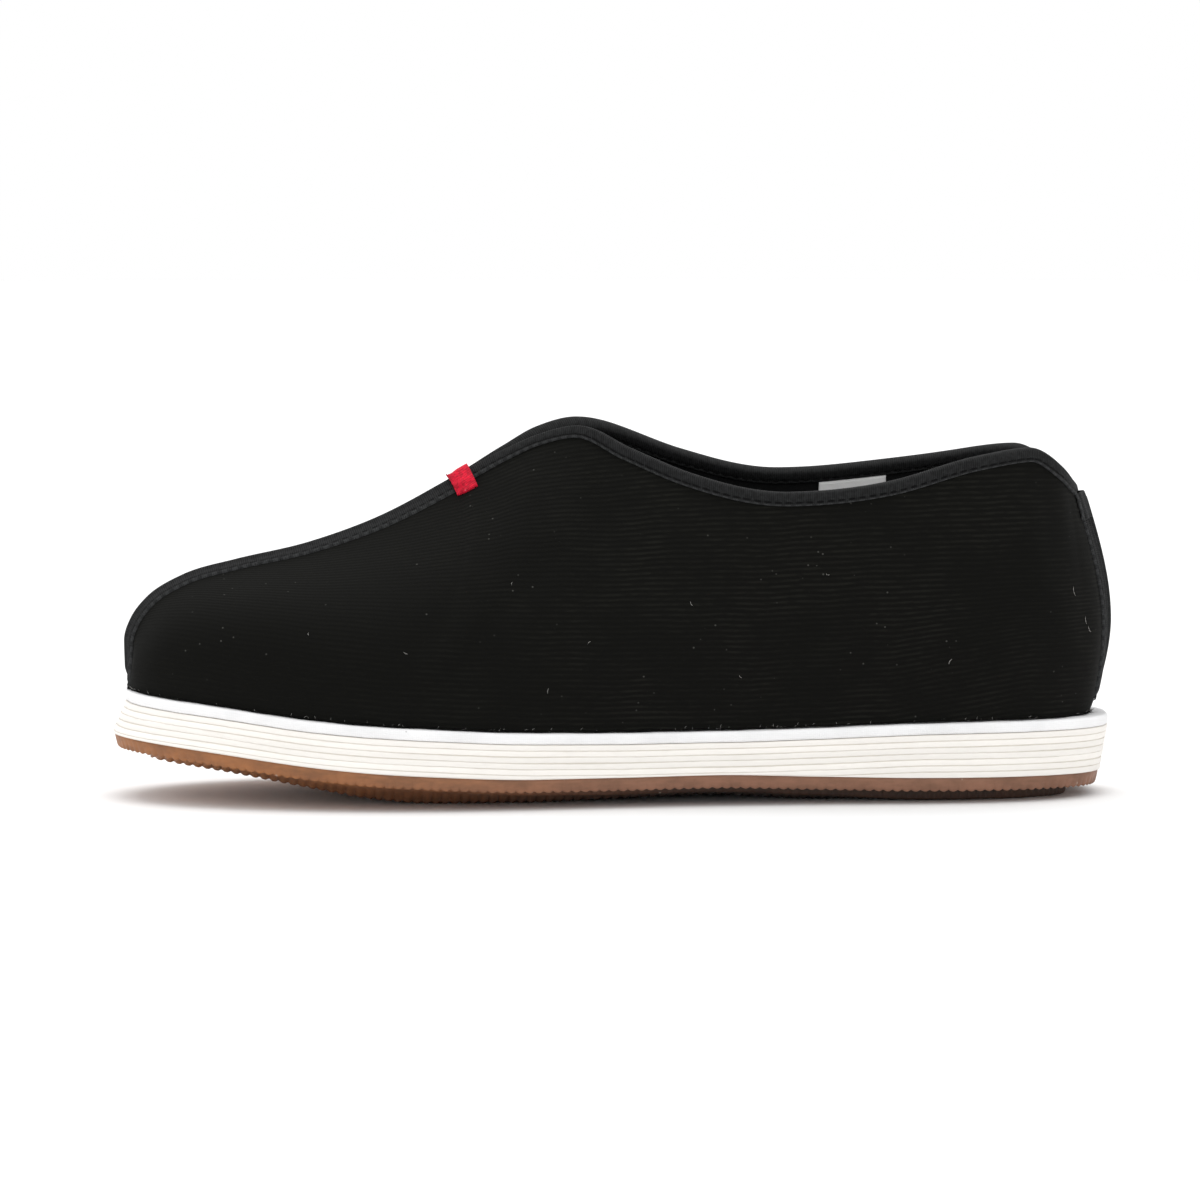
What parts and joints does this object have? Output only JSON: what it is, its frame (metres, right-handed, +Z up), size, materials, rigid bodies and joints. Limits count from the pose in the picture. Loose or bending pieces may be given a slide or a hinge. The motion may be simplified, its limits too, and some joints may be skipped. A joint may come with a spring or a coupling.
{
  "type": "cloth shoe",
  "caption": "Low black corduroy slip-on shoe, two bound panels with a raised front seam, red tab, white cotton welt, cream layered midsole and gum rubber outsole.",
  "frame": {"origin": "on the floor under the middle of the sole's length and width", "axes": "+X towards the toe, +Y towards the outer side of the foot (the wearer's left), +Z up"},
  "size_m": [0.2881, 0.1008, 0.1088],
  "materials": {
    "gum_rubber": "moulded, slightly glossy",
    "cream_layers": "matt, cut edges",
    "white_cotton": "plain cotton over a board",
    "black_felt": "felt",
    "black_corduroy": "fine-wale corduroy",
    "black_tape": "ribbed cotton tape",
    "red_tape": "woven cotton tape",
    "label_cloth": "woven, bare"
  },
  "bodies": {
    "root": {"outsole": "gum_rubber", "midsole": "cream_layers", "welt": "white_cotton", "insole": "black_felt", "upper": "black_corduroy", "vamp_tape": "black_tape", "heel_tape": "black_tape", "collar_tape_lateral": "black_tape", "collar_tape_medial": "black_tape", "throat_tab": "red_tape", "heel_tab": "black_tape", "label": "label_cloth"}
  },
  "joints": []
}
